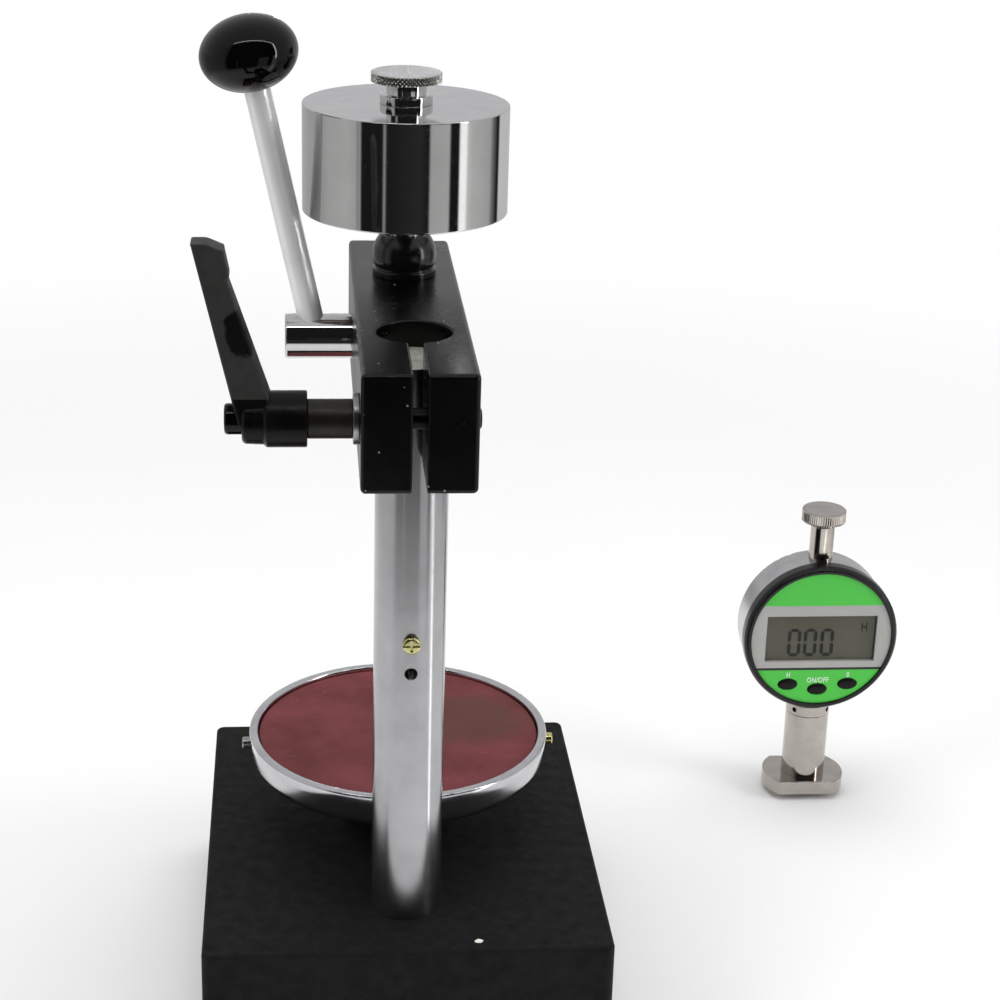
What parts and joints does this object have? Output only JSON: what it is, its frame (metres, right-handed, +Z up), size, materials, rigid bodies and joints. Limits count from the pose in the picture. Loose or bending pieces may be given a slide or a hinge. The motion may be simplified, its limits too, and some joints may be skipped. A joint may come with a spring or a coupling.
{
  "type": "durometer test stand",
  "caption": "Bench hardness tester: rack-driven weighted spindle over a self-aligning anvil, with a separate digital durometer standing beside it.",
  "frame": {"origin": "on the bench, under the middle of the base's sole on the spindle's axis", "axes": "+Z up along the spindle; +Y from the column towards the operator; +X towards the separate durometer"},
  "size_m": [0.2615, 0.2154, 0.3226],
  "materials": {
    "black_crinkle": "fine black crinkle paint",
    "black_paint": "satin black baked enamel",
    "black_rubber": "moulded black rubber",
    "ground_steel": "ground and hard-chromed",
    "plain_steel": "machined steel",
    "chrome": "polished chrome plate",
    "bronze": "turned bronze",
    "yellow_zinc": "yellow zinc plate",
    "red_board": "matt red laminate",
    "black_gloss": "polished black phenolic",
    "black_cast": "powder-coated die casting",
    "white_nylon": "plain nylon",
    "green_print": "printed green and grey film",
    "black_plastic": "satin black moulding",
    "clear": "clear window",
    "lcd": "grey-olive display",
    "board": "green circuit board",
    "black_key": "matt black key"
  },
  "bodies": {
    "stand": {"base": "black_crinkle", "sole": "black_rubber", "column": "ground_steel", "stop_screw": "yellow_zinc", "column_screw": "plain_steel", "column_washer": "plain_steel", "pedestal": "plain_steel", "pedestal_screw": "plain_steel", "pedestal_washer": "plain_steel"},
    "seat": {"seat_liner": "bronze"},
    "anvil": {"anvil_dish": "chrome", "anvil_insert": "red_board", "rim_screw_left": "plain_steel", "rim_screw_right": "plain_steel"},
    "arm": {"arm": "black_paint", "upper_bush": "bronze", "lower_bush": "bronze", "pinion_keeper": "plain_steel", "brake_plug": "white_nylon", "brake_screw": "plain_steel", "clamp_washer": "chrome", "buffer": "black_rubber"},
    "clamp_screw": {"clamp_stud": "plain_steel", "clamp_sleeve": "black_cast", "clamp_cap": "black_cast", "clamp_spring": "plain_steel"},
    "clamp_handle": {"clamp_handle": "black_cast"},
    "lever": {"pinion_shaft": "chrome", "lever_rod": "chrome", "lever_knob": "black_gloss"},
    "spindle": {"spindle": "ground_steel", "weight": "chrome"},
    "weight_knob": {"weight_knob": "chrome"},
    "gauge": {"gauge_case": "chrome", "gauge_bezel": "black_plastic", "face_plate": "green_print", "display_window": "clear", "display": "lcd", "circuit_board": "board", "coin_cell": "plain_steel", "barrel": "ground_steel", "barrel_ring": "ground_steel", "ring_screw_left": "black_cast", "ring_screw_right": "black_cast", "presser_foot": "chrome"},
    "button_hold": {"button_hold": "black_key"},
    "button_power": {"button_power": "black_key"},
    "button_zero": {"button_zero": "black_key"},
    "cell_cover": {"cell_cover": "plain_steel"},
    "thumb_knob": {"thumb_knob": "ground_steel"},
    "indenter": {"indenter": "chrome", "indenter_spring": "plain_steel"}
  },
  "joints": [
    {"name": "arm_height", "type": "slide", "parent": "stand", "child": "arm", "axis": [0, 0, 1], "range_m": [-0.0565, 0.012]},
    {"name": "clamp_turn", "type": "hinge", "parent": "arm", "child": "clamp_screw", "pos_m": [-0.031, -0.0895, 0.223], "axis": [1, 0, 0], "range_deg": [-100, 100]},
    {"name": "clamp_handle_pull", "type": "slide", "parent": "clamp_screw", "child": "clamp_handle", "axis": [-1, 0, 0], "range_m": [0, 0.003], "stiffness_N_per_m": 1500, "springref_m": -0.001, "deforming": ["clamp_spring"]},
    {"name": "lever_turn", "type": "hinge", "parent": "arm", "child": "lever", "pos_m": [-0.0165, -0.0103, 0.223], "axis": [-1, 0, 0], "range_deg": [0, 67]},
    {"name": "spindle_drop", "type": "slide", "parent": "arm", "child": "spindle", "axis": [0, 0, -1], "range_m": [0, 0.007]},
    {"name": "weight_knob_spin", "type": "hinge", "parent": "spindle", "child": "weight_knob", "pos_m": [0, 0, 0.2945], "axis": [0, 0, 1], "continuous": true},
    {"name": "seat_tilt", "type": "hinge", "parent": "stand", "child": "seat", "pos_m": [0, 0, 0.081], "axis": [1, 0, 0], "range_deg": [-3, 3]},
    {"name": "anvil_tilt", "type": "hinge", "parent": "seat", "child": "anvil", "pos_m": [0, 0, 0.081], "axis": [0, 1, 0], "range_deg": [-3, 3]},
    {"name": "gauge_lift", "type": "slide", "parent": "stand", "child": "gauge", "axis": [0, 0, 1], "range_m": [0, 0.15]},
    {"name": "thumb_knob_spin", "type": "hinge", "parent": "gauge", "child": "thumb_knob", "pos_m": [0.1675, 0.1, 0.11404], "axis": [0, 0, 1], "continuous": true},
    {"name": "cell_cover_turn", "type": "hinge", "parent": "gauge", "child": "cell_cover", "pos_m": [0.1675, 0.1105, 0.06304], "axis": [0, 1, 0], "range_deg": [0, 45]},
    {"name": "indenter_press", "type": "slide", "parent": "gauge", "child": "indenter", "axis": [0, 0, 1], "range_m": [0, 0.0025], "stiffness_N_per_m": 3170, "springref_m": -0.00017, "deforming": ["indenter_spring"]},
    {"name": "button_hold_press", "type": "slide", "parent": "gauge", "child": "button_hold", "axis": [0, 1, 0], "range_m": [0, 0.0006], "stiffness_N_per_m": 1500},
    {"name": "button_power_press", "type": "slide", "parent": "gauge", "child": "button_power", "axis": [0, 1, 0], "range_m": [0, 0.0006], "stiffness_N_per_m": 1500},
    {"name": "button_zero_press", "type": "slide", "parent": "gauge", "child": "button_zero", "axis": [0, 1, 0], "range_m": [0, 0.0006], "stiffness_N_per_m": 1500}
  ],
  "couplings": [
    {"joint": "lever_turn", "follows": "spindle_drop", "rad_per_m": 166.67}
  ]
}
